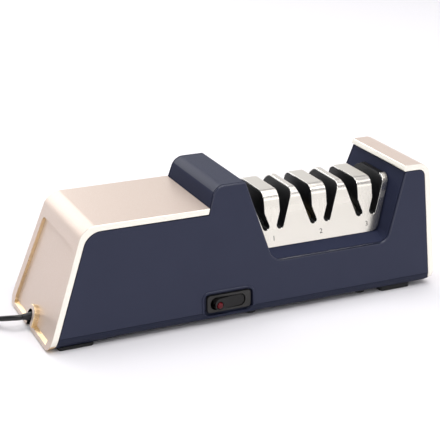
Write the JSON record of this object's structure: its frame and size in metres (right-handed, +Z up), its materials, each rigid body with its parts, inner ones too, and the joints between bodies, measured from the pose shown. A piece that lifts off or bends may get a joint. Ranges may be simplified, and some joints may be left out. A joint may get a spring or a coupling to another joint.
{
  "type": "electric knife sharpener",
  "caption": "Benchtop electric knife sharpener with paired guide slots under a steel head, a rocker switch, a filings drawer and a mains cord.",
  "frame": {"origin": "on the surface it stands on, under the middle of the body's box without the cord", "axes": "+X along the body towards the sharpening head's end, -Y towards the side with the switch, +Z up"},
  "size_m": [0.377, 0.1052, 0.0912],
  "materials": {
    "navy_plastic": "fine matte texture, moulded ABS",
    "dark_navy_plastic": "matte moulded ABS",
    "champagne_plastic": "satin champagne metallic paint on moulded ABS",
    "brushed_steel": "brushed stainless steel sheet",
    "black_plastic": "black moulded nylon",
    "switch_plastic": "black moulded nylon, semi-gloss",
    "red_lens": "clear red polycarbonate",
    "foot_rubber": "black rubber",
    "cord_rubber": "black PVC",
    "coarse_abrasive": "diamond grit on a steel cup",
    "fine_abrasive": "fine grit on a steel cup",
    "polishing_abrasive": "flexible polishing compound",
    "spring_steel": "bright spring wire",
    "ground_steel": "ground steel",
    "zinc_plated_steel": "zinc-plated pressed steel",
    "armature_steel": "laminated steel with copper windings",
    "screw_steel": "zinc-plated steel",
    "board_laminate": "glass-epoxy board",
    "plug_brass": "plated brass"
  },
  "bodies": {
    "root": {"main_housing": "navy_plastic", "base_tray": "dark_navy_plastic", "left_end_cover": "champagne_plastic", "right_end_cap": "champagne_plastic", "steel_head_cover": "brushed_steel", "coarse_knife_guide": "black_plastic", "fine_knife_guide": "black_plastic", "polishing_knife_guide": "black_plastic", "left_bearing": "ground_steel", "right_bearing": "ground_steel", "left_bearing_bracket": "zinc_plated_steel", "right_bearing_bracket": "zinc_plated_steel", "motor_can": "zinc_plated_steel", "motor_end_bell": "zinc_plated_steel", "motor_cradle": "black_plastic", "motor_strap": "zinc_plated_steel", "switch_housing": "switch_plastic", "foot_front_left": "foot_rubber", "foot_rear_left": "foot_rubber", "foot_front_right": "foot_rubber", "foot_rear_right": "foot_rubber", "round_foot_front_1": "foot_rubber", "round_foot_rear_1": "foot_rubber", "round_foot_front_2": "foot_rubber", "round_foot_rear_2": "foot_rubber", "base_screw_front_left": "screw_steel", "base_screw_front_right": "screw_steel", "base_screw_rear_left": "screw_steel", "base_screw_rear_right": "screw_steel", "strain_relief": "cord_rubber", "cord_clamp": "black_plastic", "rectifier_board": "board_laminate", "cord_lead": "cord_rubber", "cord_coil": "cord_rubber", "cord_tail": "cord_rubber", "plug_body": "cord_rubber", "plug_blade_left": "plug_brass", "plug_blade_right": "plug_brass"},
    "spindle_assembly": {"spindle": "ground_steel", "shaft_coupling": "black_plastic", "motor_armature": "armature_steel", "cooling_fan": "black_plastic", "coarse_cup_spring": "spring_steel", "fine_cup_spring": "spring_steel", "polishing_cup_spring": "spring_steel"},
    "coarse_left_wheel": {"coarse_cup_left": "coarse_abrasive"},
    "coarse_right_wheel": {"coarse_cup_right": "coarse_abrasive"},
    "fine_left_wheel": {"fine_cup_left": "fine_abrasive"},
    "fine_right_wheel": {"fine_cup_right": "fine_abrasive"},
    "polishing_left_wheel": {"polishing_cup_left": "polishing_abrasive"},
    "polishing_right_wheel": {"polishing_cup_right": "polishing_abrasive"},
    "rocker": {"switch_rocker": "switch_plastic", "switch_lens": "red_lens"},
    "drawer": {"filings_drawer": "dark_navy_plastic"}
  },
  "joints": [
    {"name": "spindle_spin", "type": "hinge", "parent": "root", "child": "spindle_assembly", "pos_m": [0, 0, 0.04], "axis": [1, 0, 0], "continuous": true},
    {"name": "coarse_left_wheel_slide", "type": "slide", "parent": "spindle_assembly", "child": "coarse_left_wheel", "axis": [1, 0, 0], "range_m": [0, 0.0008], "stiffness_N_per_m": 400, "springref_m": -0.004, "deforming": ["coarse_cup_spring"]},
    {"name": "coarse_right_wheel_slide", "type": "slide", "parent": "spindle_assembly", "child": "coarse_right_wheel", "axis": [-1, 0, 0], "range_m": [0, 0.0008], "stiffness_N_per_m": 400, "springref_m": -0.004, "deforming": ["coarse_cup_spring"]},
    {"name": "fine_left_wheel_slide", "type": "slide", "parent": "spindle_assembly", "child": "fine_left_wheel", "axis": [1, 0, 0], "range_m": [0, 0.0008], "stiffness_N_per_m": 400, "springref_m": -0.004, "deforming": ["fine_cup_spring"]},
    {"name": "fine_right_wheel_slide", "type": "slide", "parent": "spindle_assembly", "child": "fine_right_wheel", "axis": [-1, 0, 0], "range_m": [0, 0.0008], "stiffness_N_per_m": 400, "springref_m": -0.004, "deforming": ["fine_cup_spring"]},
    {"name": "polishing_left_wheel_slide", "type": "slide", "parent": "spindle_assembly", "child": "polishing_left_wheel", "axis": [1, 0, 0], "range_m": [0, 0.0008], "stiffness_N_per_m": 400, "springref_m": -0.004, "deforming": ["polishing_cup_spring"]},
    {"name": "polishing_right_wheel_slide", "type": "slide", "parent": "spindle_assembly", "child": "polishing_right_wheel", "axis": [-1, 0, 0], "range_m": [0, 0.0008], "stiffness_N_per_m": 400, "springref_m": -0.004, "deforming": ["polishing_cup_spring"]},
    {"name": "rocker_tilt", "type": "hinge", "parent": "root", "child": "rocker", "pos_m": [-0.0173, -0.03851, 0.014], "axis": [0, 0, 1], "range_deg": [-18, 0]},
    {"name": "drawer_slide", "type": "slide", "parent": "root", "child": "drawer", "axis": [0, 1, 0], "range_m": [0, 0.055]}
  ]
}
